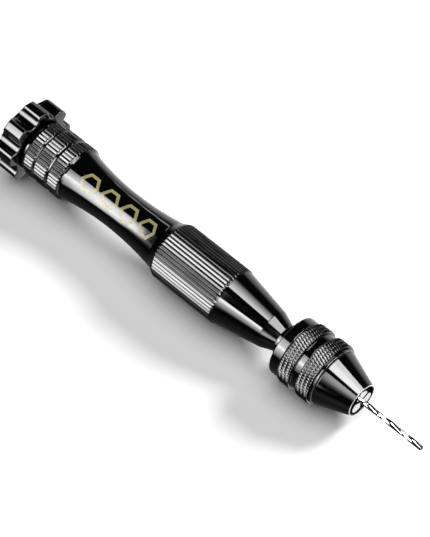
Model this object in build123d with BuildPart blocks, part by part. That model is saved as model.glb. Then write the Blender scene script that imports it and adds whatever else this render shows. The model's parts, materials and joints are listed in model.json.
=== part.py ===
from build123d import *

import os
from math import cos, radians, sin, tan

# A pin vise drill that lies level. Its axis is +X, from the palm cap to the drill bit, and +Z is up.
# The origin is on the axis, at the centre of the cap's flat end face. All sizes are in millimetres,
# "x" values are stations along the axis, and "r" values are radii about it.

# Palm cap
CAP_LENGTH = 8.05
CAP_R = 12.4
LOBES = 8
FIRST_SCALLOP_ANGLE = 9.7
SCALLOP_R = 2.6
SCALLOP_CENTRE_R = 12.4
LOBE_CORNER_R = 1.4
CAP_EDGE_BREAK = 0.45
CAP_FACE_R = 9.2
CAP_BEVEL = 1.39
COVER_R = 5.0
COVER_THICKNESS = 0.9
SCREW_POCKET_R = 3.6

# Ball bearing in the cap, 4 x 8 x 3
BEARING_X = 3.9
BEARING_WIDTH = 3.0
BEARING_BORE_R = 2.0
BEARING_R = 4.0
INNER_LAND_R = 2.55
OUTER_LAND_R = 3.45
BALL_R = 0.6
BALL_CIRCLE_R = 3.0
BALLS = 8
BALL_PLAY = 0.02
CAGE_HALF_WIDTH = 0.85
CAGE_HALF_WALL = 0.25
SHIELD_THICKNESS = 0.15
SHIELD_INSET = 0.05
SHIELD_BORE_R = 2.62

# Swivel screw with its washer and spacer
SCREW_HEAD_X = 2.45
SCREW_HEAD_R = 3.0
WASHER_THICKNESS = 0.25
CLAMP_RING_R = 2.5
SCREW_SHANK_R = 1.98
SWIVEL_THREAD_R = 1.5
SWIVEL_THREAD_LENGTH = 9.0
HEX_KEY = 2.0
HEX_DEPTH = 0.8

# Handle
HANDLE_X = 8.7
HANDLE_END_X = 107.3
RIBS = 50
RIB_DEPTH = 0.36
BAND_R = 9.15
BAND_ROOT_R = 8.65
BANDS_X = ((10.25, 13.1), (14.5, 18.55), (20.2, 23.35))
GROOVE_WALL = 0.4
WAIST_START = (24.5, 8.45)
WAIST_THROAT = (42.2, 6.46)
WAIST_END = (61.4, 8.05)
GRIP_X = 63.8
GRIP_END_X = 86.5
GRIP_R = 9.26
TAPER_START = (87.6, 8.87)
TAPER_BREAK = (102.5, 6.1)
HANDLE_TIP_R = 4.25
TAPPED_SPARE = 1.3

# Chuck stud and lock ring
STUD_R = 2.5
STUD_X = 96.3
STUD_END_X = 115.4
LOCK_RING_R = 5.0
LOCK_RING_END_X = 108.8

# Chuck core
HUB_R = 4.5
HUB_GAP = 0.1
COLLAR_SEAT_X = 110.9
COLLAR_SEAT_R = 8.45
FLANGE_X = 117.65
FLANGE_R = 8.52
NUT_GROOVE_X = 120.6
NUT_GROOVE_END_X = 124.2
NUT_GROOVE_R = 6.5
CORE_NOSE_R = 5.55
CORE_SHOULDER_R = 7.7
CORE_END_X = 132.2
BIT_BORE_R = 1.9

# Rear collar and front sleeve
COLLAR_X = 109.92
COLLAR_BAND_R = 9.42
COLLAR_BAND_END_X = 113.25
KNURL_R = 10.0
EDGE_BREAK = 0.3
COLLAR_KNURL_X = 113.7
COLLAR_END_X = 117.65
SLEEVE_X = 117.8
SLEEVE_BAND_R = 9.17
SLEEVE_BAND_END_X = 120.0
SLEEVE_KNURL_X = 120.35
SLEEVE_KNURL_END_X = 124.65
SLEEVE_BORE_R = 8.6
SHOULDER_X = 125.0
SHOULDER_END_X = 125.75
SHOULDER_R = 9.3
CONE_X = 125.9
CONE_R = 9.0
NOSE_X = 136.3
NOSE_R = 5.2
NOSE_BORE_R = 4.75
GROOVE_DEPTH = 0.25
SLEEVE_WALL_GAP = 0.25

# Split jaw nut
NUT_X = 120.8
NUT_END_X = 124.0
NUT_SPLIT = 0.1
NUT_JAW_GAP = 0.08

# Jaws: round bars that slide in bores inclined to the tool's axis
JAWS = 3
JAW_ANGLE = 12.0
JAW_R = 2.05
JAW_CENTRE_AT_NOSE = 2.0
JAW_BORE_R = 2.09
JAW_REAR_X = 121.2
JAW_BORE_REAR_X = 116.45
JAW_PITCH = 0.85
JAW_TEETH = 8
TOOTH_DEPTH = 0.4
GRIP_GAP = 0.02
GRIP_LAND = 0.15

# Drill bit
BIT_R = 0.8
BIT_REAR_X = 121.8
FLUTE_X = 139.2
BIT_TIP_X = 158.4
FLUTE_LEAD = 16.0
WEB_R = 0.28
LAND_HALF_ANGLE = 42.0
FLUTE_SECTIONS = 20
POINT_HALF_ANGLE = 59.0


def outline(points):
    """A closed flat outline in the plane that holds the axis, from its (x, r) corners."""
    with BuildSketch(Plane.XY) as sketch:
        with BuildLine():
            Polyline(*points, close=True)
        make_face()
    return sketch.sketch


def ring_outline(x_from, x_to, r_inner, r_outer):
    """The rectangular section of a plain ring."""
    return outline([(x_from, r_inner), (x_to, r_inner), (x_to, r_outer), (x_from, r_outer)])


def band_outline(x_from, x_to, r):
    """The top of a raised band, with its two edges broken."""
    return [(x_from, r - EDGE_BREAK), (x_from + EDGE_BREAK, r), (x_to - EDGE_BREAK, r), (x_to, r - EDGE_BREAK)]


def groove_outline(x_from, x_to, r):
    """The floor of a narrow groove cut below the bands beside it."""
    floor_r = r - EDGE_BREAK - GROOVE_DEPTH
    return [(x_from, floor_r), (x_to, floor_r)]


def polar(radius, degrees):
    """A point in a section across the axis."""
    return (radius * cos(radians(degrees)), radius * sin(radians(degrees)))


def jaw_plane(number):
    """The plane square to one jaw's own axis, at the nose, with its normal towards the tip."""
    around = 90.0 + number * 360.0 / JAWS
    y, z = polar(1.0, around)
    lean = radians(JAW_ANGLE)
    centre = (NOSE_X, JAW_CENTRE_AT_NOSE * y, JAW_CENTRE_AT_NOSE * z)
    towards_tip = (cos(lean), -sin(lean) * y, -sin(lean) * z)
    return Plane(origin=centre, x_dir=(0, -z, y), z_dir=towards_tip)


def jaw_back_r(x):
    """How far a jaw's back stands from the tool's axis at a station."""
    lean = radians(JAW_ANGLE)
    return JAW_CENTRE_AT_NOSE + (NOSE_X - x) * tan(lean) + JAW_R / cos(lean)


def save(part, name):
    """Label a finished piece and write its STEP file."""
    part.label = name
    export_step(part, f"parts/{name}.step")


def make_swivel_cap():
    """The palm cap: a lobed disc, bevelled round its end face, with a screw pocket and a bearing seat."""
    with BuildPart() as cap:
        with BuildSketch(Plane.YZ):
            Circle(CAP_R)
            with PolarLocations(SCALLOP_CENTRE_R, LOBES, start_angle=FIRST_SCALLOP_ANGLE):
                Circle(SCALLOP_R, mode=Mode.SUBTRACT)
        extrude(amount=CAP_LENGTH)
        fillet(cap.edges().filter_by(Axis.X), LOBE_CORNER_R)
        chamfer(cap.edges().group_by(Axis.X)[-1], CAP_EDGE_BREAK)
        revolve(outline([(0, CAP_FACE_R), (CAP_BEVEL, CAP_R), (0, CAP_R)]), axis=Axis.X, mode=Mode.SUBTRACT)
        hollow = [(0, 0), (0, COVER_R), (COVER_THICKNESS, COVER_R), (COVER_THICKNESS, SCREW_POCKET_R)]
        hollow += [(BEARING_X, SCREW_POCKET_R), (BEARING_X, BEARING_R)]
        hollow += [(CAP_LENGTH, BEARING_R), (CAP_LENGTH, 0)]
        revolve(outline(hollow), axis=Axis.X, mode=Mode.SUBTRACT)
    save(cap.part, "swivel_cap")


def make_cap_cover_disc():
    """The thin disc that hides the swivel screw."""
    with BuildPart() as disc:
        with BuildSketch(Plane.YZ):
            Circle(COVER_R)
        extrude(amount=COVER_THICKNESS)
    save(disc.part, "cap_cover_disc")


def make_swivel_screw():
    """The shoulder screw on which the cap turns."""
    shoulder_x = BEARING_X - WASHER_THICKNESS
    thread_end_x = HANDLE_X + SWIVEL_THREAD_LENGTH
    with BuildPart() as screw:
        with BuildSketch(Plane.YZ.offset(SCREW_HEAD_X)):
            Circle(SCREW_HEAD_R)
        extrude(amount=shoulder_x - SCREW_HEAD_X)
        with BuildSketch(Plane.YZ.offset(shoulder_x)):
            Circle(SCREW_SHANK_R)
        extrude(amount=HANDLE_X - shoulder_x)
        with BuildSketch(Plane.YZ.offset(HANDLE_X)):
            Circle(SWIVEL_THREAD_R)
        extrude(amount=thread_end_x - HANDLE_X)
        chamfer(screw.edges().group_by(Axis.X)[-1], SWIVEL_THREAD_R / 4)
        with BuildSketch(Plane.YZ.offset(SCREW_HEAD_X)):
            RegularPolygon(HEX_KEY / 2, 6, major_radius=False)
        extrude(amount=HEX_DEPTH, mode=Mode.SUBTRACT)
    save(screw.part, "swivel_screw")


def make_clamp_rings():
    """The washer under the screw head, and the spacer between the bearing and the handle."""
    bearing_end_x = BEARING_X + BEARING_WIDTH
    spans = {"screw_washer": (BEARING_X - WASHER_THICKNESS, BEARING_X), "spacer_collar": (bearing_end_x, HANDLE_X)}
    for name, (x_from, x_to) in spans.items():
        with BuildPart() as ring:
            revolve(ring_outline(x_from, x_to, BEARING_BORE_R, CLAMP_RING_R), axis=Axis.X)
        save(ring.part, name)


def make_bearing_rings():
    """The inner and outer rings, each with a round ball track."""
    spans = {"bearing_inner_ring": (BEARING_BORE_R, INNER_LAND_R), "bearing_outer_ring": (OUTER_LAND_R, BEARING_R)}
    middle_x = BEARING_X + BEARING_WIDTH / 2
    for name, (r_inner, r_outer) in spans.items():
        with BuildPart() as ring:
            revolve(ring_outline(BEARING_X, BEARING_X + BEARING_WIDTH, r_inner, r_outer), axis=Axis.X)
            with BuildSketch(Plane.XY):
                with Locations((middle_x, BALL_CIRCLE_R)):
                    Circle(BALL_R + BALL_PLAY)
            revolve(axis=Axis.X, mode=Mode.SUBTRACT)
        save(ring.part, name)


def make_bearing_balls():
    """The balls, evenly spaced."""
    with BuildPart(Plane.YZ.offset(BEARING_X + BEARING_WIDTH / 2)) as balls:
        with PolarLocations(BALL_CIRCLE_R, BALLS):
            Sphere(BALL_R)
    save(balls.part, "bearing_balls")


def make_bearing_cage():
    """The ring that keeps the balls apart, with a round pocket for each."""
    middle_x = BEARING_X + BEARING_WIDTH / 2
    section = ring_outline(
        middle_x - CAGE_HALF_WIDTH,
        middle_x + CAGE_HALF_WIDTH,
        BALL_CIRCLE_R - CAGE_HALF_WALL,
        BALL_CIRCLE_R + CAGE_HALF_WALL,
    )
    with BuildPart() as cage:
        revolve(section, axis=Axis.X)
        for number in range(BALLS):
            y, z = polar(1.0, number * 360.0 / BALLS)
            with BuildSketch(Plane(origin=(middle_x, 0, 0), x_dir=(1, 0, 0), z_dir=(0, y, z))):
                Circle(BALL_R + 2 * BALL_PLAY)
            extrude(amount=BEARING_R, mode=Mode.SUBTRACT)
    save(cage.part, "bearing_cage")


def make_bearing_shields():
    """The two thin shields that close the bearing."""
    near = SHIELD_INSET
    far = BEARING_WIDTH - SHIELD_INSET - SHIELD_THICKNESS
    with BuildPart() as shields:
        for step in (near, far):
            x_from = BEARING_X + step
            section = ring_outline(x_from, x_from + SHIELD_THICKNESS, SHIELD_BORE_R, OUTER_LAND_R)
            revolve(section, axis=Axis.X)
    save(shields.part, "bearing_shields")


def ribbed_section(x, crest_r):
    """A section across the axis with pointed straight-knurl ribs all round."""
    step = 360.0 / RIBS
    with BuildSketch(Plane.YZ.offset(x)) as section:
        with BuildLine():
            corners = []
            for rib in range(RIBS):
                corners.append(polar(crest_r, rib * step))
                corners.append(polar(crest_r - RIB_DEPTH, (rib + 0.5) * step))
            Polyline(*corners, close=True)
        make_face()
    return section.sketch


def handle_envelope():
    """The turned outline of the handle, from the cap to the chuck."""
    rear = [(HANDLE_X, 0), (HANDLE_X, BAND_ROOT_R - GROOVE_WALL / 2), (HANDLE_X + GROOVE_WALL / 2, BAND_ROOT_R)]
    for band_x, band_end_x in BANDS_X:
        rear += [(band_x - GROOVE_WALL, BAND_ROOT_R), (band_x, BAND_R)]
        rear += [(band_end_x, BAND_R), (band_end_x + GROOVE_WALL, BAND_ROOT_R)]
    rear[-1] = WAIST_START
    with BuildSketch(Plane.XY) as envelope:
        with BuildLine():
            Polyline(*rear)
            Spline(WAIST_START, WAIST_THROAT, WAIST_END, tangents=[(1, -0.22), (1, 0.16)])
            front = [WAIST_END, (GRIP_X, GRIP_R), (GRIP_END_X, GRIP_R), TAPER_START, TAPER_BREAK]
            front += [(HANDLE_END_X, HANDLE_TIP_R), (HANDLE_END_X, 0), (HANDLE_X, 0)]
            Polyline(*front)
        make_face()
    return envelope.sketch


def make_handle_body():
    """The handle: knurled bands, a smooth waist, a knurled grip and a taper, tapped at both ends."""
    bands_end_x = (WAIST_START[0] + WAIST_THROAT[0]) / 2
    grip_start_x = (WAIST_THROAT[0] + WAIST_END[0]) / 2
    grip_end_x = TAPER_START[0]
    with BuildPart() as handle:
        extrude(ribbed_section(HANDLE_X, BAND_R), bands_end_x - HANDLE_X)
        extrude(ribbed_section(grip_start_x, GRIP_R), grip_end_x - grip_start_x)
        revolve(ring_outline(bands_end_x, grip_start_x, 0, BAND_R), axis=Axis.X)
        revolve(ring_outline(grip_end_x, HANDLE_END_X, 0, GRIP_R), axis=Axis.X)
        revolve(handle_envelope(), axis=Axis.X, mode=Mode.INTERSECT)
        rear_hole_end_x = HANDLE_X + SWIVEL_THREAD_LENGTH + TAPPED_SPARE
        revolve(ring_outline(HANDLE_X, rear_hole_end_x, 0, SWIVEL_THREAD_R), axis=Axis.X, mode=Mode.SUBTRACT)
        revolve(ring_outline(STUD_X - TAPPED_SPARE, HANDLE_END_X, 0, STUD_R), axis=Axis.X, mode=Mode.SUBTRACT)
    save(handle.part, "handle_body")


def make_chuck_stud():
    """The headless screw that joins the chuck to the handle."""
    with BuildPart() as stud:
        with BuildSketch(Plane.YZ.offset(STUD_X)):
            Circle(STUD_R)
        extrude(amount=STUD_END_X - STUD_X)
        chamfer(stud.edges().group_by(Axis.X)[0], STUD_R / 5)
        chamfer(stud.edges().group_by(Axis.X)[-1], STUD_R / 5)
    save(stud.part, "chuck_stud")


def make_chuck_lock_ring():
    """The thin ring that is clamped between the handle and the chuck."""
    with BuildPart() as ring:
        revolve(ring_outline(HANDLE_END_X, LOCK_RING_END_X, STUD_R, LOCK_RING_R), axis=Axis.X)
        outer_edges = ring.edges().filter_by(GeomType.CIRCLE).group_by(SortBy.RADIUS)[-1]
        chamfer(outer_edges, (LOCK_RING_END_X - HANDLE_END_X) / 5)
    save(ring.part, "chuck_lock_ring")


def make_chuck_core():
    """The steel core: hub, collar seat, flange, nut groove and nose, with the jaw bores."""
    body = [(LOCK_RING_END_X, 0), (LOCK_RING_END_X, HUB_R), (COLLAR_SEAT_X, HUB_R)]
    body += [(COLLAR_SEAT_X, COLLAR_SEAT_R), (FLANGE_X, COLLAR_SEAT_R), (FLANGE_X, FLANGE_R)]
    body += [(NUT_GROOVE_X, FLANGE_R), (NUT_GROOVE_X, NUT_GROOVE_R), (NUT_GROOVE_END_X, NUT_GROOVE_R)]
    body += [(NUT_GROOVE_END_X, CORE_SHOULDER_R), (CORE_END_X, CORE_NOSE_R), (CORE_END_X, 0)]
    bore = [(LOCK_RING_END_X, 0), (LOCK_RING_END_X, STUD_R), (STUD_END_X, STUD_R)]
    bore += [(STUD_END_X, BIT_BORE_R), (CORE_END_X, BIT_BORE_R), (CORE_END_X, 0)]
    bore_length = (NOSE_X - JAW_BORE_REAR_X) / cos(radians(JAW_ANGLE))
    with BuildPart() as core:
        revolve(outline(body), axis=Axis.X)
        revolve(outline(bore), axis=Axis.X, mode=Mode.SUBTRACT)
        for number in range(JAWS):
            with BuildSketch(jaw_plane(number)):
                Circle(JAW_BORE_R)
            extrude(amount=-bore_length, mode=Mode.SUBTRACT)
    save(core.part, "chuck_core")


def make_chuck_rear_collar():
    """The collar that the fingers hold while the sleeve is turned: a smooth band and a knurled ring."""
    shape = [(COLLAR_X, HUB_R + HUB_GAP)]
    shape += band_outline(COLLAR_X, COLLAR_BAND_END_X, COLLAR_BAND_R)
    shape += groove_outline(COLLAR_BAND_END_X, COLLAR_KNURL_X, COLLAR_BAND_R)
    shape += band_outline(COLLAR_KNURL_X, COLLAR_END_X, KNURL_R)
    shape += [(COLLAR_END_X, COLLAR_SEAT_R), (COLLAR_SEAT_X, COLLAR_SEAT_R), (COLLAR_SEAT_X, HUB_R + HUB_GAP)]
    with BuildPart() as collar:
        revolve(outline(shape), axis=Axis.X)
    save(collar.part, "chuck_rear_collar")


def make_chuck_sleeve():
    """The sleeve that works the jaws: a smooth band, a knurled ring and the nose cone."""
    shape = [(SLEEVE_X, SLEEVE_BORE_R)]
    shape += band_outline(SLEEVE_X, SLEEVE_BAND_END_X, SLEEVE_BAND_R)
    shape += groove_outline(SLEEVE_BAND_END_X, SLEEVE_KNURL_X, SLEEVE_BAND_R)
    shape += band_outline(SLEEVE_KNURL_X, SLEEVE_KNURL_END_X, KNURL_R)
    shape += groove_outline(SLEEVE_KNURL_END_X, SHOULDER_X, SHOULDER_R)
    shape += band_outline(SHOULDER_X, SHOULDER_END_X, SHOULDER_R)
    shape += groove_outline(SHOULDER_END_X, CONE_X, CONE_R)
    shape += [(CONE_X, CONE_R), (NOSE_X, NOSE_R), (NOSE_X, NOSE_BORE_R), (NOSE_X - 2 * EDGE_BREAK, NOSE_BORE_R)]
    shape += [(CORE_END_X + SLEEVE_WALL_GAP, CORE_NOSE_R + SLEEVE_WALL_GAP)]
    shape += [(NUT_END_X + NUT_SPLIT, CORE_SHOULDER_R + SLEEVE_WALL_GAP), (NUT_END_X + NUT_SPLIT, SLEEVE_BORE_R)]
    with BuildPart() as sleeve:
        revolve(outline(shape), axis=Axis.X)
    save(sleeve.part, "chuck_sleeve")


def make_split_nut():
    """The jaw nut, in two halves so that it goes into the core's groove."""
    section = [(NUT_X, jaw_back_r(NUT_X) + NUT_JAW_GAP), (NUT_X, SLEEVE_BORE_R), (NUT_END_X, SLEEVE_BORE_R)]
    section += [(NUT_END_X, jaw_back_r(NUT_END_X) + NUT_JAW_GAP)]
    for name, side in (("split_nut_a", Keep.TOP), ("split_nut_b", Keep.BOTTOM)):
        offset = NUT_SPLIT / 2 if side == Keep.TOP else -NUT_SPLIT / 2
        with BuildPart() as half:
            revolve(outline(section), axis=Axis.X)
            split(bisect_by=Plane.XY.offset(offset), keep=side)
        save(half.part, name)


def make_jaw(number):
    """One jaw: a round bar with a wedge-shaped front, a narrow grip land and teeth on its back."""
    lean = radians(JAW_ANGLE)
    bar_length = (NOSE_X - JAW_REAR_X) / cos(lean) + JAW_R
    land_r = BIT_R + GRIP_GAP
    land_half = GRIP_LAND * tan(radians(60))
    reach = KNURL_R
    wedge_half = (reach - land_r + GRIP_LAND) * tan(radians(60))
    around = number * 360.0 / JAWS
    with BuildPart() as jaw:
        with BuildSketch(jaw_plane(number)):
            Circle(JAW_R)
        extrude(amount=bar_length, both=True)
        with BuildSketch(Plane.YZ.offset(JAW_REAR_X)):
            with Locations(Location((0, 0), around)):
                Polygon((-land_half, land_r), (land_half, land_r), (wedge_half, reach), (-wedge_half, reach), align=None)
        extrude(amount=NOSE_X - JAW_REAR_X, mode=Mode.INTERSECT)
        for tooth in range(JAW_TEETH):
            x = JAW_REAR_X + (tooth + 0.5 + number / JAWS) * JAW_PITCH * cos(lean)
            back = jaw_back_r(x)
            half = JAW_PITCH / 3
            groove = [(x, back - TOOTH_DEPTH), (x + half, back + TOOTH_DEPTH), (x - half, back + TOOTH_DEPTH)]
            revolve(outline(groove), axis=Axis.X, mode=Mode.SUBTRACT)
    save(jaw.part, f"jaw_{number + 1}")


def make_drill_bit():
    """A two-flute twist drill: a round shank, right-hand flutes and a conical point."""
    point_length = BIT_R / tan(radians(POINT_HALF_ANGLE))
    step = (BIT_TIP_X - FLUTE_X) / FLUTE_SECTIONS
    with BuildPart() as bit:
        for number in range(FLUTE_SECTIONS + 1):
            x = FLUTE_X + number * step
            turn = 360.0 * (x - FLUTE_X) / FLUTE_LEAD
            with BuildSketch(Plane.YZ.offset(x)):
                with BuildLine():
                    for side in (0, 180):
                        land = [turn + side + a for a in (-LAND_HALF_ANGLE, 0, LAND_HALF_ANGLE)]
                        flute = [turn + side + a for a in (LAND_HALF_ANGLE, 90, 180 - LAND_HALF_ANGLE)]
                        ThreePointArc(*[polar(BIT_R, a) for a in land])
                        ThreePointArc(polar(BIT_R, flute[0]), polar(WEB_R, flute[1]), polar(BIT_R, flute[2]))
                make_face()
        loft(ruled=True)
        with BuildSketch(Plane.YZ.offset(BIT_REAR_X)):
            Circle(BIT_R)
        extrude(amount=FLUTE_X - BIT_REAR_X)
        rough = [(BIT_REAR_X, 0), (BIT_REAR_X, BIT_R), (BIT_TIP_X - point_length, BIT_R), (BIT_TIP_X, 0)]
        revolve(outline(rough), axis=Axis.X, mode=Mode.INTERSECT)
    save(bit.part, "drill_bit")


def main():
    """Make every piece and write one STEP file for each."""
    os.makedirs("parts", exist_ok=True)
    make_swivel_cap()
    make_cap_cover_disc()
    make_swivel_screw()
    make_clamp_rings()
    make_bearing_rings()
    make_bearing_balls()
    make_bearing_cage()
    make_bearing_shields()
    make_handle_body()
    make_chuck_stud()
    make_chuck_lock_ring()
    make_chuck_core()
    make_chuck_rear_collar()
    make_chuck_sleeve()
    make_split_nut()
    for number in range(JAWS):
        make_jaw(number)
    make_drill_bit()


main()
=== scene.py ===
import json
from math import acos, atan2, cos, hypot, pi, radians, sin, tan, tau

import bpy
import numpy as np
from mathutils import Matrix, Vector


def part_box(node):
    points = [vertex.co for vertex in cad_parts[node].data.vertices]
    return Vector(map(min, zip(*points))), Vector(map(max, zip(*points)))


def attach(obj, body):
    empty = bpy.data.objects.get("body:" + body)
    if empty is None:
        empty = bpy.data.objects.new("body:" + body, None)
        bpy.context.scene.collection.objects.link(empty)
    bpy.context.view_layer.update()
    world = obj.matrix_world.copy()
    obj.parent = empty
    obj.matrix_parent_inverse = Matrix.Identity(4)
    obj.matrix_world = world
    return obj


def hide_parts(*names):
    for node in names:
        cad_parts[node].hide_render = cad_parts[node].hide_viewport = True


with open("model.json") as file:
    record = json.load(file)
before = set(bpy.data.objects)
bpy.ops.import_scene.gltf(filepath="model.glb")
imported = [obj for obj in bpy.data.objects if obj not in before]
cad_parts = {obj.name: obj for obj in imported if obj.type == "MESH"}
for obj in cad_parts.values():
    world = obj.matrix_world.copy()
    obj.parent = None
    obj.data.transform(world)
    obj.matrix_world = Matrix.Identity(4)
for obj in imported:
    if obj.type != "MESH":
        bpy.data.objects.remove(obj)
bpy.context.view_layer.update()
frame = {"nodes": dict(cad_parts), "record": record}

MM = 0.001
SHARP_ANGLE = 32.0  # degrees between two faces, past which their shared edge is drawn sharp


def span_x(node):
    """The stations in millimetres between which a CAD node lies along the tool's axis."""
    low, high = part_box(node)
    return low.x / MM, high.x / MM


def radius_of(node):
    """The outer radius of a CAD node about the tool's axis, in millimetres."""
    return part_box(node)[1].y / MM


# --- Driving dimensions, in millimetres ---
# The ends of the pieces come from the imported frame. Offsets and radii are estimates of the real object's.

CAP_X, CAP_END_X = span_x("swivel_cap")
HANDLE_X, HANDLE_END_X = span_x("handle_body")
RING_X, RING_END_X = span_x("chuck_lock_ring")
COLLAR_X, COLLAR_END_X = span_x("chuck_rear_collar")
SLEEVE_X, NOSE_X = span_x("chuck_sleeve")
BIT_X, BIT_TIP_X = span_x("drill_bit")

# Palm cap
CAP_R = 12.399
LOBES = 8
SCALLOP_R = 2.6
SCALLOP_CENTRE_R = 12.4
LOBE_CORNER_R = 1.4
FIRST_SCALLOP = radians(9.7)
CAP_EDGE = 0.45
CAP_FACE_R = 9.2
CAP_BEVEL = 1.39
CAP_RECESS_R = 4.0
SCREW_POCKET_R = 3.6
COVER_R = radius_of("cap_cover_disc")
COVER_DEPTH = span_x("cap_cover_disc")[1]
BEARING_X = span_x("bearing_outer_ring")[0]

# Handle, with stations measured from its rear end
BAND_R = 9.15
BAND_ROOT_R = 8.65
BANDS = ((1.55, 4.4), (5.8, 9.85), (11.5, 15.0))
GROOVE_WALL = 0.62
WAIST = ((15.8, 8.45), (18.7, 7.81), (21.3, 7.38), (24.0, 7.04), (26.6, 6.78), (29.3, 6.57), (33.5, 6.45),
         (37.1, 6.5), (39.7, 6.59), (42.3, 6.76), (44.8, 6.99), (47.4, 7.27), (49.9, 7.61), (52.7, 8.05))
GRIP = (55.1, 77.8)
GRIP_R = radius_of("handle_body")
TAPER_START = (78.9, 8.87)
TAPER_BREAK = (93.8, 6.1)
HANDLE_TIP_R = 4.25
HANDLE_END_GAP = 0.02
SWIVEL_HOLE_R = 1.52
STUD_HOLE_R = 2.52
RIBS = 50
RIB_DEPTH = 0.32
RIB_STEPS = (0.0, 0.07, 0.14, 0.86)
CREST_SOFTNESS = 0.14
ROOT_SOFTNESS = 0.14

# Print on the waist: angles are from +Y towards +Z
PRINT_MARKS = 4
PRINT_X = 32.6
PRINT_PITCH = 7.8
PRINT_OUTER_R = 3.35
PRINT_INNER_R = 2.25
PRINT_ANGLE = radians(114.0)
PRINT_LIFT = 0.012

# Chuck
LOCK_RING_BORE_R = 2.55
GROOVE_DEPTH = 0.55
COLLAR_BAND_R = 9.42
COLLAR_BAND_END = 3.33
COLLAR_KNURL = 3.78
KNURL_R = radius_of("chuck_rear_collar")
KNURL_LINES = 70
KNURL_HELIX = radians(19.0)
KNURL_DEPTH = 0.3
SECOND_KNURL = 0.65
KNURL_STEPS = 10
SLEEVE_BAND_R = 9.17
SLEEVE_BAND_END = 2.2
SLEEVE_KNURL = (2.55, 6.85)
SHOULDER = (7.2, 7.95)
SHOULDER_R = 9.3
CONE = (8.1, 9.0)
NOSE_R = 5.2
NOSE_BORE_R = 4.75
SLEEVE_BORE_R = 8.6
HUB_CLEAR_R = 4.6
COLLAR_SEAT_R = 8.45
COLLAR_WEB = 1.0
SLEEVE_LIP = 0.12
SLEEVE_STEP_R = 7.95
SLEEVE_STEP = 6.3
NOSE_INSIDE_R = 5.8
NOSE_INSIDE_DEPTH = 3.85
NOSE_BORE_DEPTH = 0.6
BARE_RIM = 0.13

# Drill bit
BIT_R = radius_of("drill_bit")
FLUTE_X = BIT_TIP_X - 22.0
FLUTE_START = radians(-63.0)
FLUTE_LEAD = 16.0
WEB_R = 0.26
POINT_HALF_ANGLE = radians(59.0)

# Camera of the product picture. Its distance and target are in metres
SENSOR_WIDTH = 36.0
FOCAL_LENGTH = 144.05
CAMERA_AZIMUTH = radians(43.97)
CAMERA_ELEVATION = radians(55.07)
CAMERA_DISTANCE = 0.6158
CAMERA_TARGET = (0.0765, 0.0039, 0.0)


# --- Outlines: lists of (x, r, wear). Wear is 1 on an edge that the hand or floor rubs, 2 on bare metal ---

GUARD = 0.04  # an extra row this far from each arc keeps the arc's shading off the flat beside it


def arc_steps(radius):
    """How many straight pieces stand for a corner's arc."""
    return 2 if radius <= 0.1 else 3 if radius <= 0.25 else 5


def rounded(corners):
    """An outline through (x, r, radius) corners, each turned into an arc of its radius."""
    points = []
    last = len(corners) - 1
    for i, (x, r, radius) in enumerate(corners):
        if radius == 0 or i in (0, last):
            points.append((x, r, 0.0))
            continue
        here = Vector((x, r))
        back = Vector(corners[i - 1][:2]) - here
        ahead = Vector(corners[i + 1][:2]) - here
        half = acos(max(-1.0, min(1.0, back.normalized().dot(ahead.normalized())))) / 2
        reach = min(radius / tan(half), 0.48 * back.length, 0.48 * ahead.length)
        arc_r = reach * tan(half)
        middle = here + (back.normalized() + ahead.normalized()).normalized() * (arc_r / sin(half))
        start = here + back.normalized() * reach - middle
        sweep = pi - 2 * half
        sign = 1.0 if start.cross(here + ahead.normalized() * reach - middle) > 0 else -1.0
        if back.length > reach + 3 * GUARD:
            points.append((*(here + back.normalized() * (reach + GUARD)), 0.0))
        steps = arc_steps(radius)
        for k in range(steps + 1):
            turn = sign * sweep * k / steps
            offset = Vector((start.x * cos(turn) - start.y * sin(turn),
                             start.x * sin(turn) + start.y * cos(turn)))
            worn = 1.0 if sign < 0 and 0 < k < steps and radius < 0.6 else 0.0
            points.append((middle.x + offset.x, middle.y + offset.y, worn))
        if ahead.length > reach + 3 * GUARD:
            points.append((*(here + ahead.normalized() * (reach + GUARD)), 0.0))
    return points


def filled(points, step):
    """The same outline with extra points, so that no stretch of it is longer than step."""
    out = [points[0]]
    for a, b in zip(points, points[1:]):
        pieces = max(1, int(np.ceil(hypot(b[0] - a[0], b[1] - a[1]) / step)))
        for k in range(1, pieces + 1):
            t = k / pieces
            wear = b[2] if k == pieces else min(a[2], b[2])
            out.append((a[0] + (b[0] - a[0]) * t, a[1] + (b[1] - a[1]) * t, wear))
    return out


def waist_curve(steps=3):
    """A smooth curve (Catmull-Rom) through the waist's stations."""
    ends = [WAIST[0], *WAIST, WAIST[-1]]
    points = []
    for p0, p1, p2, p3 in zip(ends, ends[1:], ends[2:], ends[3:]):
        for k in range(steps):
            t = k / steps
            weights = (-t + 2 * t ** 2 - t ** 3, 2 - 5 * t ** 2 + 3 * t ** 3,
                       t + 4 * t ** 2 - 3 * t ** 3, t ** 3 - t ** 2)
            x, r = (sum(w * p[c] for w, p in zip(weights, (p0, p1, p2, p3))) / 2 for c in (0, 1))
            points.append((HANDLE_X + x, r, 0.0))
    points.append((HANDLE_X + WAIST[-1][0], WAIST[-1][1], 0.0))
    return points


# --- Mesh making ---

def ring_points(x, radii, angles):
    """Points round the axis at station x, in metres."""
    return np.stack([np.full(len(angles), x), radii * np.cos(angles), radii * np.sin(angles)], axis=1) * MM


def link_mesh(name, points, faces, material):
    """A plain mesh object in the row frame, in the scene."""
    mesh = bpy.data.meshes.new(name)
    mesh.from_pydata(points, [], faces)
    mesh.materials.append(material)
    obj = bpy.data.objects.new(name, mesh)
    bpy.context.scene.collection.objects.link(obj)
    return obj


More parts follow.
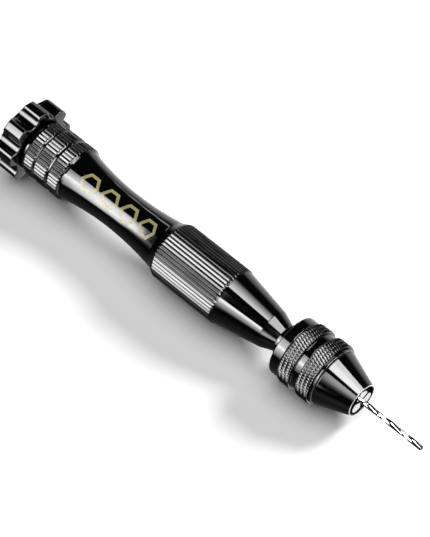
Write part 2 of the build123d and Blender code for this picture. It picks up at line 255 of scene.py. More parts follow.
def add_mesh(name, points, faces, wear, material, sharp=SHARP_ANGLE):
    """A mesh object in the row frame, smooth but for its sharp edges, with its wear as an attribute."""
    obj = link_mesh(name, points.tolist(), faces, material)
    mesh = obj.data
    mesh.polygons.foreach_set("use_smooth", [True] * len(mesh.polygons))
    mesh.set_sharp_from_angle(angle=radians(sharp))
    attribute = mesh.attributes.new("wear", "FLOAT", "POINT")
    attribute.data.foreach_set("value", np.asarray(wear, np.float32))
    mesh.validate()
    return obj


def skin_rows(name, rows, wears, material, closed, sharp=SHARP_ANGLE):
    """Quads between rows of points round the axis. A closed piece joins its last row to its first."""
    count = len(rows[0])
    around = np.arange(count)
    after = (around + 1) % count
    faces = []
    last = len(rows) if closed else len(rows) - 1
    for i in range(last):
        a, b = i * count, ((i + 1) % len(rows)) * count
        faces += np.stack([a + around, a + after, b + after, b + around], axis=1).tolist()
    points = np.concatenate(rows)
    wear = np.concatenate(wears)
    if not closed:
        ends = (rows[0].mean(axis=0), rows[-1].mean(axis=0))
        points = np.concatenate([points, *[e[None, :] for e in ends]])
        wear = np.concatenate([wear, np.zeros(2)])
        first, final = len(points) - 2, len(points) - 1
        start = (len(rows) - 1) * count
        faces += np.stack([after, around, np.full(count, first)], axis=1).tolist()
        faces += np.stack([start + around, start + after, np.full(count, final)], axis=1).tolist()
    return add_mesh(name, points, faces, wear, material, sharp)


def turned(name, outline, material, count=128, limit=None, closed=False, sharp=SHARP_ANGLE):
    """A turned piece. A knurl given as limit sets the angles, and the radius to which each station is cut."""
    angles = np.arange(count) * tau / count if limit is None else limit.angles
    rows, wears = [], []
    for x, r, wear in outline:
        radii = np.full(len(angles), float(r))
        worn = np.full(len(angles), float(wear))
        if limit is not None:
            cut, crest = limit.at(x, angles)
            worn = np.where(cut < radii, crest, worn)
            radii = np.minimum(radii, cut)
        rows.append(ring_points(x, radii, angles))
        wears.append(worn)
    return skin_rows(name, rows, wears, material, closed, sharp)


class StraightKnurl:
    """Ribs along the axis, with soft crests and roots."""

    def __init__(self, zones):
        self.zones = zones
        half = [*RIB_STEPS, 1.0, *(2.0 - d for d in reversed(RIB_STEPS[1:]))]
        self.angles = np.array([(rib + d / 2) * tau / RIBS for rib in range(RIBS) for d in half])

    def at(self, x, angles):
        phase = angles * RIBS / tau
        distance = np.abs(phase - np.round(phase)) * 2
        slope = 1 - distance
        crest = 1 - CREST_SOFTNESS / 2 - distance ** 2 / (2 * CREST_SOFTNESS)
        root = ROOT_SOFTNESS / 2 + slope ** 2 / (2 * ROOT_SOFTNESS)
        height = np.where(distance < CREST_SOFTNESS, crest, np.where(slope < ROOT_SOFTNESS, root, slope))
        top, bottom = 1 - CREST_SOFTNESS / 2, ROOT_SOFTNESS / 2
        height = (height - bottom) / (top - bottom)
        for low, high, r in self.zones:
            if low <= x <= high:
                return r - RIB_DEPTH * (1 - height), np.clip(height * 2 - 1, 0, 1)
        return np.full(len(angles), 1e3), np.zeros(len(angles))


class DiamondKnurl:
    """Two families of helical grooves that leave rows of small pyramids."""

    def __init__(self, zones):
        self.zones = zones
        count = KNURL_LINES * KNURL_STEPS
        self.angles = np.arange(count) * tau / count

    def at(self, x, angles):
        for low, high in self.zones:
            if low <= x <= high:
                along = (x - (low + high) / 2) * tan(KNURL_HELIX) / KNURL_R * KNURL_LINES / tau
                around = angles * KNURL_LINES / tau
                left, right = (np.abs((around + s * along) % 1.0 - 0.5) * 2 for s in (-1, 1))
                depth = np.maximum(left, SECOND_KNURL * right)
                depth = np.clip((depth - 0.06) / 0.9, 0, 1)
                return KNURL_R - KNURL_DEPTH * depth, np.clip(1 - depth * 3, 0, 1)
        return np.full(len(angles), 1e3), np.zeros(len(angles))


# --- Materials ---

class Nodes:
    """A short way to write a material's node tree."""

    def __init__(self, name):
        self.material = bpy.data.materials.new(name)
        self.material.use_nodes = True
        self.tree = self.material.node_tree
        self.shader = self.tree.nodes["Principled BSDF"]

    def add(self, kind, inputs=None, **settings):
        node = self.tree.nodes.new(kind)
        for key, value in settings.items():
            setattr(node, key, value)
        for key, value in (inputs or {}).items():
            self.feed(node.inputs[key], value)
        return node

    def feed(self, socket, value):
        if isinstance(value, bpy.types.NodeSocket):
            self.tree.links.new(value, socket)
        else:
            socket.default_value = value

    def place(self, scale=(1.0, 1.0, 1.0)):
        """The point in millimetres in the row frame, stretched by scale."""
        coordinates = self.add("ShaderNodeTexCoord").outputs["Object"]
        factors = tuple(s / MM for s in scale)
        return self.add("ShaderNodeVectorMath", {0: coordinates, 1: factors}, operation="MULTIPLY").outputs[0]

    def noise(self, scale, place=None, detail=3.0):
        vector = place if place is not None else self.place()
        inputs = {"Vector": vector, "Scale": scale, "Detail": detail, "Roughness": 0.55}
        return self.add("ShaderNodeTexNoise", inputs).outputs["Fac"]

    def ramp(self, value, low, high, to_low=0.0, to_high=1.0):
        inputs = {"Value": value, "From Min": low, "From Max": high, "To Min": to_low, "To Max": to_high}
        return self.add("ShaderNodeMapRange", inputs, interpolation_type="SMOOTHSTEP").outputs["Result"]

    def maths(self, operation, a, b):
        return self.add("ShaderNodeMath", {0: a, 1: b}, operation=operation).outputs[0]

    def mix(self, share, a, b):
        node = self.add("ShaderNodeMix", data_type="RGBA")
        self.feed(node.inputs["Factor"], share)
        self.feed(node.inputs[6], a)
        self.feed(node.inputs[7], b)
        return node.outputs[2]

    def bump(self, height, distance):
        inputs = {"Height": height, "Distance": distance * MM, "Strength": 1.0}
        return self.add("ShaderNodeBump", inputs).outputs["Normal"]

    def finish(self, **sockets):
        for name, value in sockets.items():
            self.feed(self.shader.inputs[name.replace("_", " ")], value)
        return self.material


def black_anodised(name):
    """Glossy black anodising over turned aluminium: faint tool marks, a few specks of dust, and rubbed edges.

    A wear of 1 lightens patches of an edge, and a wear of 2 shows bare metal."""
    polish, wear_share = 0.05, 0.2
    n = Nodes(name)
    marks = n.noise(1.0, n.place((5.0, 0.15, 0.15)), detail=2.0)
    cloud = n.noise(0.3)
    specks = n.ramp(n.noise(2.2, detail=1.0), 0.79, 0.84)
    worn = n.add("ShaderNodeAttribute", attribute_name="wear").outputs["Fac"]
    patchy = n.ramp(n.noise(0.7, n.place((0.15, 1.0, 1.0)), detail=4.0), 0.3, 0.65)
    rubbed = n.maths("MULTIPLY", n.maths("MULTIPLY", n.maths("MINIMUM", worn, 1.0), patchy), wear_share)
    bare = n.ramp(worn, 1.2, 1.8)
    colour = n.mix(cloud, (0.0003, 0.0003, 0.00035, 1), (0.0008, 0.0008, 0.0009, 1))
    colour = n.mix(n.maths("MULTIPLY", specks, 0.2), colour, (0.04, 0.04, 0.042, 1))
    colour = n.mix(rubbed, colour, (0.2, 0.2, 0.21, 1))
    colour = n.mix(bare, colour, (0.85, 0.85, 0.86, 1))
    gloss = n.ramp(cloud, 0.3, 0.7, polish, polish + 0.03)
    gloss = n.maths("ADD", gloss, n.maths("MULTIPLY", bare, 0.3))
    gloss = n.maths("ADD", gloss, n.maths("MULTIPLY", rubbed, 0.2))
    normal = n.bump(marks, 0.0004)
    return n.finish(Base_Color=colour, Roughness=gloss, Normal=normal, Metallic=bare, IOR=1.5)


def metal(name, light, dark, gloss, marks_scale, marks_depth):
    """Bare metal with turning marks, a cloudy tone and a few stains. Where the wear attribute is 1, shade is
    painted in near black: on the drill bit this is painted shade and a painted dark reflection on its point.
    """
    n = Nodes(name)
    marks = n.noise(1.0, n.place(marks_scale), detail=2.0)
    painted_shade = n.add("ShaderNodeAttribute", attribute_name="wear").outputs["Fac"]
    cloud = n.noise(0.6)
    stain = n.ramp(n.noise(1.4, detail=4.0), 0.55, 0.75)
    colour = n.mix(cloud, (*light, 1), (*dark, 1))
    stain_colour = (dark[0] * 0.6, dark[1] * 0.58, dark[2] * 0.55, 1)
    colour = n.mix(n.maths("MULTIPLY", stain, 0.3), colour, stain_colour)
    # painted shade: the colour goes near black wherever the wear attribute is 1
    colour = n.mix(painted_shade, colour, (0.0008, 0.0008, 0.0009, 1))
    rough = n.ramp(marks, 0.3, 0.7, gloss * 0.8, gloss * 1.25)
    normal = n.bump(marks, marks_depth)
    return n.finish(Base_Color=colour, Roughness=rough, Normal=normal, Metallic=1.0)


def gold_print(name):
    """Pale gold ink, pad printed: slightly mottled, less glossy than the anodising."""
    n = Nodes(name)
    mottle = n.noise(2.5, detail=3.0)
    colour = n.mix(mottle, (0.27, 0.24, 0.1, 1), (0.2, 0.175, 0.07, 1))
    rough = n.ramp(mottle, 0.3, 0.7, 0.22, 0.34)
    return n.finish(Base_Color=colour, Roughness=rough, Normal=n.bump(mottle, 0.002), IOR=1.45)


ANODISED = black_anodised("black_anodised")
SMOOTH_STEEL = metal("bright_steel", (0.74, 0.74, 0.75), (0.6, 0.6, 0.62), 0.1, (4.0, 0.4, 0.4), 0.0006)
ZINC = metal("zinc_steel", (0.58, 0.59, 0.62), (0.46, 0.47, 0.5), 0.32, (1.5, 1.5, 1.5), 0.003)
CHROME = metal("bearing_steel", (0.8, 0.8, 0.82), (0.7, 0.7, 0.73), 0.08, (6.0, 0.4, 0.4), 0.0006)
BRASS = metal("brass", (0.76, 0.58, 0.27), (0.6, 0.43, 0.18), 0.25, (6.0, 0.6, 0.6), 0.0015)
DARK_STEEL = metal("dark_steel", (0.2, 0.2, 0.21), (0.1, 0.1, 0.11), 0.35, (3.0, 3.0, 3.0), 0.003)
TOOL_STEEL = metal("tool_steel", (0.74, 0.74, 0.76), (0.62, 0.62, 0.65), 0.08, (5.0, 1.0, 1.0), 0.0004)
GOLD_INK = gold_print("gold_print")

SLOT_MATERIALS = {
    "black_anodised": ANODISED,
    "bright_steel": SMOOTH_STEEL,
    "zinc_steel": ZINC,
    "bearing_steel": CHROME,
    "brass": BRASS,
    "dark_steel": DARK_STEEL,
    "tool_steel": TOOL_STEEL,
}


def finish_cad_nodes():
    """Gives every carried-over CAD node the finish of its material slot."""
    for part in frame["record"]["subparts"]:
        node = frame["nodes"][part["node"]]
        material = SLOT_MATERIALS[part["material_slot"]]
        if not node.material_slots:
            node.data.materials.append(material)
        for slot in node.material_slots:
            slot.material = material


# --- Palm cap ---

def lobe_outline():
    """The cap's lobed outline as (y, z) points with their outward normals, as numpy arrays."""
    corner_centre_r = CAP_R - LOBE_CORNER_R
    reach = SCALLOP_R + LOBE_CORNER_R
    squares = corner_centre_r ** 2 + SCALLOP_CENTRE_R ** 2 - reach ** 2
    corner = acos(squares / (2 * corner_centre_r * SCALLOP_CENTRE_R))
    centre_y, centre_z = corner_centre_r * cos(corner), corner_centre_r * sin(corner)
    contact = atan2(centre_z, SCALLOP_CENTRE_R - centre_y)
    points, normals = [], []

    def arc(y, z, r, start, end, steps, sign, turn):
        for k in range(steps):
            a = start + (end - start) * k / steps
            n = np.array([cos(a), sin(a)])
            spin = np.array([[cos(turn), -sin(turn)], [sin(turn), cos(turn)]])
            points.append(spin @ (np.array([y, z]) + r * n))
            normals.append(spin @ (sign * n))

    for lobe in range(LOBES):
        turn = FIRST_SCALLOP + lobe * tau / LOBES
        arc(SCALLOP_CENTRE_R, 0, SCALLOP_R, pi + contact, pi - contact, 22, -1, turn)
        arc(centre_y, centre_z, LOBE_CORNER_R, -contact, corner, 9, 1, turn)
        far = tau / LOBES - corner
        arc(0, 0, CAP_R, corner, far, 14, 1, turn)
        far_y, far_z = corner_centre_r * cos(far), corner_centre_r * sin(far)
        arc(far_y, far_z, LOBE_CORNER_R, far, tau / LOBES + contact, 9, 1, turn)
    return np.array(points), np.array(normals)


def make_palm_cap():
    """The lobed cap: a bevelled end face with a seat for the cover, and a bearing recess in front."""
    points, normals = lobe_outline()
    angles = np.arctan2(points[:, 1], points[:, 0])
    rows, wears = [], []

    def lobed(x, inset, limit_r, wear):
        flat = points - normals * inset
        reach = np.hypot(flat[:, 0], flat[:, 1])
        flat = flat * np.minimum(1.0, limit_r / reach)[:, None]
        rows.append(np.column_stack([np.full(len(flat), x), flat]) * MM)
        wears.append(np.full(len(flat), float(wear)))

    def circle(x, r):
        rows.append(ring_points(x, np.full(len(angles), r), angles))
        wears.append(np.zeros(len(angles)))

    face_edge = [(CAP_X, CAP_FACE_R - 0.6, 0), (CAP_X, CAP_FACE_R, 0.3), (CAP_X + CAP_BEVEL, CAP_R, 0.4),
                 (CAP_X + CAP_BEVEL + 1.5, CAP_R, 0)]
    for x, r, wear in filled(rounded(face_edge), 0.3):
        lobed(x, 0.0, r, wear)
    lobed(CAP_END_X - CAP_EDGE - GUARD, 0.0, CAP_R, 0)
    soft_steps = 5
    for k in range(soft_steps + 1):
        a = pi / 2 * k / soft_steps
        worn = 1.0 if 0 < k < soft_steps else 0.0
        lobed(CAP_END_X - CAP_EDGE * (1 - sin(a)), CAP_EDGE * (1 - cos(a)), CAP_R, worn)
    edge = 0.15
    inside = ((CAP_END_X, CAP_RECESS_R + 3.2), (CAP_END_X, CAP_RECESS_R + edge),
              (CAP_END_X - edge, CAP_RECESS_R), (BEARING_X, CAP_RECESS_R), (BEARING_X, SCREW_POCKET_R),
              (COVER_DEPTH, SCREW_POCKET_R), (COVER_DEPTH, COVER_R), (CAP_X + edge, COVER_R),
              (CAP_X, COVER_R + edge), (CAP_X, COVER_R + 2.0))
    for x, r in inside:
        circle(x, r)
    cap = skin_rows("palm_cap_shell", rows, wears, ANODISED, closed=True)
    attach(cap, "palm_cap")
    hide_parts("swivel_cap")


def make_cap_cover():
    """The thin disc in the cap's end face, with a turned edge."""
    edge = 0.18
    gap = 0.02
    outline = rounded([(CAP_X, gap, 0), (CAP_X, COVER_R - gap, edge), (CAP_X + COVER_DEPTH, COVER_R - gap, 0),
                       (CAP_X + COVER_DEPTH, gap, 0)])
    cover = turned("cap_cover", filled(outline, 0.6), ANODISED)
    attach(cover, "palm_cap")
    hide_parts("cap_cover_disc")


# --- Handle ---

def make_handle():
    """The handle's turned outline, cut by the straight knurl on its three bands and its grip."""
    root = BAND_ROOT_R
    chamfer = 0.3
    corners = [(0, SWIVEL_HOLE_R, 0), (0, root - chamfer, 0.1), (chamfer, root, 0.12)]
    for start, end in BANDS:
        corners += [(start - GROOVE_WALL, root, 0.08), (start, BAND_R, 0.1), (end, BAND_R, 0.1)]
        corners.append((end + GROOVE_WALL, root, 0.08))
    corners[-1] = (*WAIST[0], 0)
    outline = handle_rows(rounded(corners)) + waist_curve()[1:]
    tip = HANDLE_END_X - HANDLE_X - HANDLE_END_GAP
    front = [(*WAIST[-1], 0), (GRIP[0], GRIP_R, 0.3), (GRIP[1], GRIP_R, 0.3), (*TAPER_START, 0.4),
             (*TAPER_BREAK, 2.5), (tip, HANDLE_TIP_R, 0.25), (tip, STUD_HOLE_R, 0)]
    outline += handle_rows(rounded(front))[1:]
    knurl = StraightKnurl([(HANDLE_X, HANDLE_X + WAIST[1][0], BAND_R),
                           (HANDLE_X + WAIST[-2][0], HANDLE_X + TAPER_START[0] + 3, GRIP_R)])
    handle = turned("knurled_handle", outline, ANODISED, limit=knurl, sharp=38.0)
    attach(handle, "handle")
    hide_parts("handle_body")


def handle_rows(points):
    """The handle's outline in the tool's stations, with close rows on the slopes where the ribs run out."""
    out = [points[0]]
    for a, b in zip(points, points[1:]):
        sloped = abs(b[1] - a[1]) > 0.1 * abs(b[0] - a[0])
        ribbed = min(a[1], b[1]) > 7.9 and b[0] < TAPER_START[0] + 0.5
        out += filled([a, b], 0.2 if sloped and ribbed else 1.6)[1:]
    return [(HANDLE_X + x, r, wear) for x, r, wear in out]


def waist_r(x):
    """The waist's radius at a station."""
    curve = waist_curve()
    return float(np.interp(x, [p[0] for p in curve], [p[1] for p in curve]))


def make_print():
    """A row of plain hexagonal rings in pale gold ink on the waist."""
    points, faces = [], []
    side_steps, width_steps = 6, 3
    around = 6 * side_steps
    for n in range(PRINT_MARKS):
        middle = PRINT_X + n * PRINT_PITCH
        first = len(points)
        for lift in (PRINT_LIFT, -PRINT_LIFT):
            for w in range(width_steps + 1):
                reach = PRINT_OUTER_R + (PRINT_INNER_R - PRINT_OUTER_R) * w / width_steps
                for k in range(around):
                    corner, along = divmod(k, side_steps)
                    ends = (corner, corner + 1)
                    a, b = (np.array([cos(c * pi / 3), sin(c * pi / 3)]) * reach for c in ends)
                    dx, across = a + (b - a) * along / side_steps
                    x = middle + dx
                    r = waist_r(x)
                    turn = PRINT_ANGLE + across / r
                    points.append((x * MM, (r + lift) * cos(turn) * MM, (r + lift) * sin(turn) * MM))
        layer = (width_steps + 1) * around
        for w in range(width_steps):
            for k in range(around):
                a, b = first + w * around + k, first + w * around + (k + 1) % around
                faces.append((a, a + around, b + around, b))
                faces.append((a + layer, b + layer, b + layer + around, a + layer + around))
        for k in range(around):
            a, b = first + k, first + (k + 1) % around
            faces.append((a, b, b + layer, a + layer))
            inner = width_steps * around
            faces.append((a + inner, a + inner + layer, b + inner + layer, b + inner))
    mark = add_mesh("waist_print", np.array(points), faces, np.zeros(len(points)), GOLD_INK)
    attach(mark, "handle")


# --- Chuck ---

def make_lock_ring():
    """The thin ring between the handle and the chuck."""
    r = radius_of("chuck_lock_ring")
    gap = 0.02
    outline = rounded([(RING_X + gap, LOCK_RING_BORE_R, 0), (RING_X + gap, r, 0.25),
                       (RING_END_X - gap, r, 0.25), (RING_END_X - gap, LOCK_RING_BORE_R, 0)])
    ring = turned("lock_ring", filled(outline, 0.5), ANODISED, closed=True)
    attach(ring, "handle")
    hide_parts("chuck_lock_ring")


def make_rear_collar():
    """The chuck's fixed part: a smooth band, a groove and a diamond-knurled ring."""
    band, groove = COLLAR_BAND_R, COLLAR_BAND_R - GROOVE_DEPTH
    x = COLLAR_X
    knurl_x = x + COLLAR_KNURL
    corners = [(x, HUB_CLEAR_R, 0), (x, band, 0.45), (x + COLLAR_BAND_END, band, 0.32),
               (x + COLLAR_BAND_END, groove, 0.05), (knurl_x, groove, 0.05), (knurl_x, KNURL_R, 0.22),
               (COLLAR_END_X, KNURL_R, 0.2), (COLLAR_END_X, COLLAR_SEAT_R, 0),
               (x + COLLAR_WEB, COLLAR_SEAT_R, 0), (x + COLLAR_WEB, HUB_CLEAR_R, 0)]
    outline = outside_rows(rounded(corners), knurl_x, COLLAR_END_X)
    knurl = DiamondKnurl([(knurl_x, COLLAR_END_X)])
    collar = turned("rear_collar", outline, ANODISED, limit=knurl, closed=True, sharp=40.0)
    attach(collar, "handle")
    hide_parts("chuck_rear_collar")


def make_sleeve():
    """The turning sleeve: a smooth band, a diamond-knurled ring, a shoulder and the nose cone."""
    x = SLEEVE_X
    band, knurl_from, knurl_to = SLEEVE_BAND_R, x + SLEEVE_KNURL[0], x + SLEEVE_KNURL[1]
    shoulder_from, shoulder_to = x + SHOULDER[0], x + SHOULDER[1]
    cone_x, cone_r = x + CONE[0], CONE[1]
    lip_r = band + SLEEVE_LIP
    band_groove, shoulder_groove, cone_groove = (r - GROOVE_DEPTH for r in (band, SHOULDER_R, cone_r))
    corners = [(x, SLEEVE_BORE_R, 0), (x, lip_r, 0.06), (x + 0.12, lip_r, 0.05), (x + 0.3, band, 0.1),
               (x + SLEEVE_BAND_END, band, 0.12), (x + SLEEVE_BAND_END, band_groove, 0.05),
               (knurl_from, band_groove, 0.05), (knurl_from, KNURL_R, 0.22), (knurl_to, KNURL_R, 0.2),
               (knurl_to, shoulder_groove, 0.05), (shoulder_from, shoulder_groove, 0.05),
               (shoulder_from, SHOULDER_R, 0.1), (shoulder_to, SHOULDER_R, 0.45),
               (shoulder_to, cone_groove, 0.05), (cone_x, cone_groove, 0.05), (cone_x, cone_r, 0.1),
               (NOSE_X, NOSE_R, 0.16), (NOSE_X, NOSE_BORE_R, 0.1), (NOSE_X - NOSE_BORE_DEPTH, NOSE_BORE_R, 0),
               (NOSE_X - NOSE_INSIDE_DEPTH, NOSE_INSIDE_R, 0), (x + SLEEVE_STEP, SLEEVE_STEP_R, 0),
               (x + SLEEVE_STEP, SLEEVE_BORE_R, 0)]
    outline = []
    for station, r, wear in outside_rows(rounded(corners), knurl_from, knurl_to):
        on_rim = station > NOSE_X - BARE_RIM and r > NOSE_R - BARE_RIM
        outline.append((station, r, 2.0 if on_rim else wear))
    knurl = DiamondKnurl([(knurl_from, knurl_to)])
    sleeve = turned("nose_sleeve", outline, ANODISED, limit=knurl, closed=True, sharp=40.0)
    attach(sleeve, "sleeve")
    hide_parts("chuck_sleeve")


def outside_rows(outline, knurl_from, knurl_to):
    """The outline with close rows over the knurled ring and a few elsewhere."""
    out = [outline[0]]
    for a, b in zip(outline, outline[1:]):
        on_ring = min(a[1], b[1]) > KNURL_R - 0.5 and a[0] >= knurl_from and b[0] <= knurl_to
        out += filled([a, b], 0.13 if on_ring else 2.0)[1:]
    return out


# --- Drill bit ---

def bit_section(turn, r):
    """The twist drill's section at a turn of its helix: two lands with margins, and two round flutes.

    Its points are (y, z, shade). Shade is 1 on the flutes' steep walls and on both edges of each land, where
    shade is painted dark into the colour so that the bit shows on a pale ground."""
    points = []
    land = radians(42.0)
    margin = radians(14.0)
    relief = 0.045
    # shade marks painted shade: the lands' edges and the flutes' steep walls are painted dark
    for side in (0.0, pi):
        for k in range(12):
            a = -land + 2 * land * k / 12
            depth = 0.0 if a > land - margin else relief
            points.append((a + side + turn, r - depth, 1.0 if abs(a) > land - margin else 0.0))
        for k in range(16):
            t = k / 16
            a = land + (pi - 2 * land) * t
            bowl = sin(pi * t) ** 0.8
            points.append((a + side + turn, r - (r - WEB_R) * bowl, 1.0 if t < 0.3 or t > 0.7 else 0.0))
    return [(p_r * cos(a), p_r * sin(a), shade) for a, p_r, shade in points]


def make_drill_bit():
    """The bit: a plain shank, two right-hand flutes that run out softly, and a cone point."""
    point_length = BIT_R / tan(POINT_HALF_ANGLE)
    run_out = 1.6
    rows, wears = [], []
    shank = np.linspace(BIT_X + 0.15, FLUTE_X, 12)
    fluted = np.linspace(FLUTE_X, BIT_TIP_X - 0.012, 170)
    for x in [*shank, *fluted[1:]]:
        turn = FLUTE_START + tau * (x - FLUTE_X) / FLUTE_LEAD
        cut = np.array(bit_section(turn, BIT_R))
        length = np.hypot(cut[:, 0], cut[:, 1])
        share = min(1.0, max(0.0, (x - FLUTE_X) / run_out))
        share = share ** 0.6
        radii = BIT_R + (length - BIT_R) * share
        radii = np.minimum(radii, max(0.01, (BIT_TIP_X - x) / point_length * BIT_R))
        scale = radii / length
        flat = cut[:, :2] * scale[:, None]
        rows.append(np.column_stack([np.full(len(flat), x), flat]) * MM)
        # The wear attribute here carries painted shade: the section's dark flute walls and land edges, and
        # 0.8 on the point cone as a painted dark reflection.
        point = 0.8 if x > BIT_TIP_X - point_length else 0.0
        wears.append(np.maximum(cut[:, 2] * share, point))
    bit = skin_rows("twist_bit", rows, wears, TOOL_STEEL, closed=False, sharp=30.0)
    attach(bit, "bit")
    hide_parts("drill_bit")


# --- Stage, light and camera ---

def floor_plane():
    """The height and slope of the floor: it touches the cap's lowest lobe and the chuck's knurled rings."""
    cap_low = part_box("swivel_cap")[0].z
    chuck_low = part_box("chuck_sleeve")[0].z
    cap_x = CAP_END_X * MM
    chuck_x = (SLEEVE_X + SLEEVE_KNURL[0]) * MM
    slope = (chuck_low - cap_low) / (chuck_x - cap_x)
    return cap_low - slope * cap_x, slope


def stage_material(name, colour, strength=0.0):
    n = Nodes(name)
    grain = n.noise(0.02, detail=2.0)
    tone = n.mix(grain, (*[c * 0.99 for c in colour], 1), (*colour, 1))
    emission = {"Emission_Color": tone, "Emission_Strength": strength} if strength else {}
    return n.finish(Base_Color=tone, Roughness=0.9, Specular_IOR_Level=0.0, **emission)


def make_stage():
    """A wide pale floor and, far off, a pale surround for low views."""
    height, slope = floor_plane()
    reach = 4.0
    square = ((-reach, -reach), (reach, -reach), (reach, reach), (-reach, reach))
    corners = [(x, y, height + slope * x) for x, y in square]
    paper = stage_material("floor_paper", (0.86, 0.86, 0.86))
    floor = link_mesh("floor", corners, [(0, 1, 2, 3)], paper)
    floor.visible_glossy = False
    rings, segments = 10, 32
    points, faces = [], []
    for i in range(rings + 1):
        e = pi / 2 * i / rings
        for j in range(segments):
            a = tau * j / segments
            across = reach * 0.95 * cos(e)
            points.append((across * cos(a), across * sin(a), height - 0.3 + reach * sin(e)))
    for i in range(rings):
        for j in range(segments):
            k = (j + 1) % segments
            below, above = i * segments, (i + 1) * segments
            faces.append((below + j, below + k, above + k, above + j))
    surround = link_mesh("surround", points, faces, stage_material("surround_paper", (0.93, 0.93, 0.93), 1.0))
    surround.visible_glossy = False
    surround.visible_shadow = False
    surround.visible_diffuse = False


def make_softbox(name, place, rows):
    """A glowing card, seen only in reflections. Each row gives the card's third coordinate and, along it,
    pairs of a station and a brightness. place(station, third) gives the point in millimetres."""
    columns = len(rows[0][1])
    points = [[c * MM for c in place(station, third)] for third, pairs in rows for station, _ in pairs]
    faces = []
    for i in range(len(rows) - 1):
        for j in range(columns - 1):
            a = i * columns + j
            faces.append((a, a + 1, a + columns + 1, a + columns))
    levels = [level for _, pairs in rows for _, level in pairs]
    n = Nodes(name)
    level = n.add("ShaderNodeAttribute", attribute_name="glow").outputs["Fac"]
    glow = n.add("ShaderNodeEmission", {"Color": (1, 1, 1, 1), "Strength": level})
    n.tree.links.new(glow.outputs[0], n.tree.nodes["Material Output"].inputs["Surface"])
    card = link_mesh(name, points, faces, n.material)
    card.data.attributes.new("glow", "FLOAT", "POINT").data.foreach_set("value", levels)
    card.visible_camera = False
    card.visible_diffuse = False
    card.visible_shadow = False


def make_softboxes():
    """The studio's softboxes: tall ones beside the tool on the camera's side, and flat ones overhead.

    Their places and levels are fitted to the highlights of the product picture, so they suit its view best.
    """
    def beside(station, height):
        return station, -250.0, height

    def overhead(station, across):
        return station, across, 200.0

    make_softbox("side_tall", beside, [
        (540, ((-470, 0.8), (-410, 3), (-320, 9), (-200, 8.5), (-120, 9), (-58, 7), (25, 5), (70, 3))),
        (500, ((-455, 0.8), (-395, 3), (-305, 9), (-200, 8.5), (-120, 9), (-58, 7), (25, 5), (70, 3))),
        (335, ((-315, 0.8), (-285, 3), (-225, 16), (-190, 17), (-110, 17), (-35, 11), (25, 7), (70, 5))),
        (236, ((-249, 0.8), (-225, 3), (-195, 18), (-148, 18), (-90, 19), (-20, 13), (25, 12.5), (70, 10))),
        (164, ((-200, 0.8), (-184, 3), (-160, 20), (-124, 19), (-80, 20), (-19, 24), (25, 23.5), (70, 22.5))),
        (108, ((-180, 0.8), (-167, 2.8), (-140, 19), (-108, 22), (-60, 22), (-14, 17), (25, 9.5), (70, 10))),
        (59, ((-170, 0.6), (-152, 2), (-120, 8.5), (-96, 15), (-60, 19), (-12, 10.5), (25, 6), (70, 5.5))),
        (22, ((-160, 0.2), (-145, 0.2), (-112, 0.8), (-92, 11), (-60, 13), (-11, 8.5), (25, 3), (70, 0.7))),
        (-8, ((-155, 0.1), (-140, 0.1), (-110, 0.1), (-90, 1), (-58, 7), (-15, 2.5), (15, 0.2), (70, 0))),
        (-22, ((-155, 0), (-140, 0), (-110, 0), (-90, 0), (-58, 0), (-15, 0), (15, 0), (70, 0))),
    ])
    make_softbox("side_short", beside, [
        (208, ((70, 3), (84, 1), (110, 1), (140, 0.5))),
        (190, ((70, 16), (84, 14), (110, 14), (140, 3))),
        (164, ((70, 24.5), (84, 24.5), (110, 24.5), (140, 4))),
        (108, ((70, 10), (84, 9.5), (110, 15), (140, 4))),
        (59, ((70, 5.5), (84, 4.8), (110, 8.5), (140, 4))),
        (22, ((70, 0.7), (84, 0.5), (110, 0.5), (140, 0.4))),
    ])
    make_softbox("side_low", beside, [
        (180, ((165, 2), (200, 3.5), (208, 1.2))),
        (108, ((165, 6), (196, 5.5), (202, 0.3))),
        (59, ((165, 9), (196, 9), (201, 0.1))),
        (18, ((165, 2), (192, 2), (198, 0))),
    ])
    make_softbox("side_far", beside, [
        (540, ((345, 8.5), (430, 8.5))),
        (335, ((278, 8), (430, 8))),
        (236, ((248, 5.2), (430, 4.6))),
        (164, ((225, 1.2), (430, 1))),
        (100, ((208, 0), (430, 0))),
    ])
    make_softbox("top_middle", overhead, [
        (-15, ((62, 16), (125, 16))),
        (15, ((62, 13.5), (125, 13.5))),
        (49, ((62, 9.5), (125, 9.2))),
        (86, ((62, 5.2), (125, 5.3))),
        (133, ((62, 1), (125, 2))),
        (150, ((62, 0), (125, 0))),
    ])
    make_softbox("top_front", overhead, [
        (-35, ((155, 9), (180, 12), (197, 21), (260, 21))),
        (40, ((155, 13.5), (180, 14), (197, 22), (260, 22))),
        (90, ((155, 11.5), (180, 12), (197, 16), (260, 16))),
        (158, ((155, 13), (180, 13.5), (197, 17), (260, 17))),
    ])
    make_softbox("top_strip", overhead, [
        (130, ((-250, 1), (-222, 6), (-196, 1))),
        (700, ((-256, 1), (-226, 5), (-200, 1))),
    ])


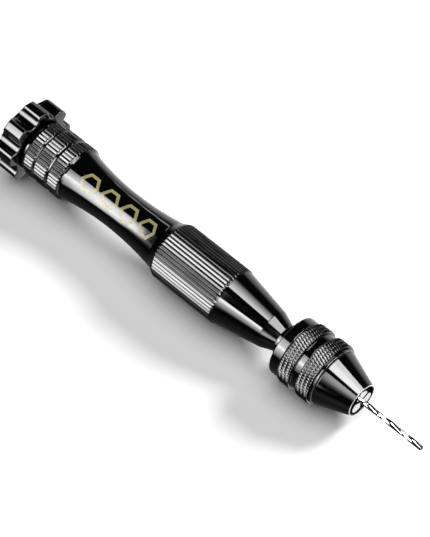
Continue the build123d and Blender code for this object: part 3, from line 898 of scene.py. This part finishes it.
def make_world():
    """Dim surroundings with a pale backdrop behind the tool."""
    world = bpy.data.worlds.new("studio")
    world.use_nodes = True
    tree = world.node_tree
    bpy.context.scene.world = world
    direction = tree.nodes.new("ShaderNodeSeparateXYZ")
    tree.links.new(tree.nodes.new("ShaderNodeTexCoord").outputs["Generated"], direction.inputs[0])

    def fade(axis, low, high):
        node = tree.nodes.new("ShaderNodeMapRange")
        node.interpolation_type = "SMOOTHSTEP"
        tree.links.new(direction.outputs[axis], node.inputs["Value"])
        node.inputs["From Min"].default_value = low
        node.inputs["From Max"].default_value = high
        return node.outputs["Result"]

    def combine(operation, a, b):
        node = tree.nodes.new("ShaderNodeMath")
        node.operation = operation
        for socket, value in zip(node.inputs, (a, b)):
            if isinstance(value, float):
                socket.default_value = value
            else:
                tree.links.new(value, socket)
        return node.outputs[0]

    backdrop = combine("MULTIPLY", fade("Y", 0.38, 0.7), fade("Z", 0.32, -0.06))
    front_level = combine("ADD", combine("MULTIPLY", fade("X", 0.1, 0.35), 1.1), 0.09)
    below = combine("MULTIPLY", fade("Z", -0.1, -0.6), front_level)
    level = combine("ADD", combine("MULTIPLY", backdrop, 1.1), below)
    level = combine("ADD", level, 0.02)
    background = tree.nodes["Background"]
    background.inputs["Color"].default_value = (1, 1, 1, 1)
    tree.links.new(level, background.inputs["Strength"])


def make_lamp(name, direction, distance, size, power):
    """A soft lamp that lights the floor and matt surfaces, and isn't seen in reflections."""
    target = Vector(((CAP_X + BIT_TIP_X) / 2 * MM, 0, 0))
    data = bpy.data.lights.new(name, "AREA")
    data.shape = "DISK"
    data.size = size
    data.energy = power
    lamp = bpy.data.objects.new(name, data)
    bpy.context.scene.collection.objects.link(lamp)
    towards = Vector(direction).normalized()
    lamp.location = target + towards * distance
    lamp.rotation_mode = "QUATERNION"
    lamp.rotation_quaternion = towards.to_track_quat("Z", "Y")
    lamp.visible_glossy = False


def make_lights():
    """A key lamp from the far side, which throws the shadow towards the camera's left, and a broad fill."""
    make_lamp("key", (0.25, 0.8, 0.62), distance=1.2, size=0.42, power=19.0)
    make_lamp("fill", (0.1, -0.1, 1.0), distance=1.6, size=2.2, power=26.0)
    make_softboxes()
    make_world()


def make_camera():
    """The camera of the product picture: above the tool, looking back along it from the bit's side."""
    data = bpy.data.cameras.new("camera")
    data.sensor_width = SENSOR_WIDTH
    data.lens = FOCAL_LENGTH
    data.clip_start = 0.05
    data.clip_end = 20.0
    camera = bpy.data.objects.new("camera", data)
    bpy.context.scene.collection.objects.link(camera)
    level = cos(CAMERA_ELEVATION)
    back = Vector((sin(CAMERA_AZIMUTH) * level, -cos(CAMERA_AZIMUTH) * level, sin(CAMERA_ELEVATION)))
    camera.location = Vector(CAMERA_TARGET) + back * CAMERA_DISTANCE
    camera.rotation_mode = "QUATERNION"
    camera.rotation_quaternion = (-back).to_track_quat("-Z", "Y")
    bpy.context.scene.camera = camera


def main():
    finish_cad_nodes()
    make_palm_cap()
    make_cap_cover()
    make_handle()
    make_print()
    make_lock_ring()
    make_rear_collar()
    make_sleeve()
    make_drill_bit()
    make_stage()
    make_lights()
    make_camera()
    bpy.context.scene.view_settings.view_transform = "Standard"


main()
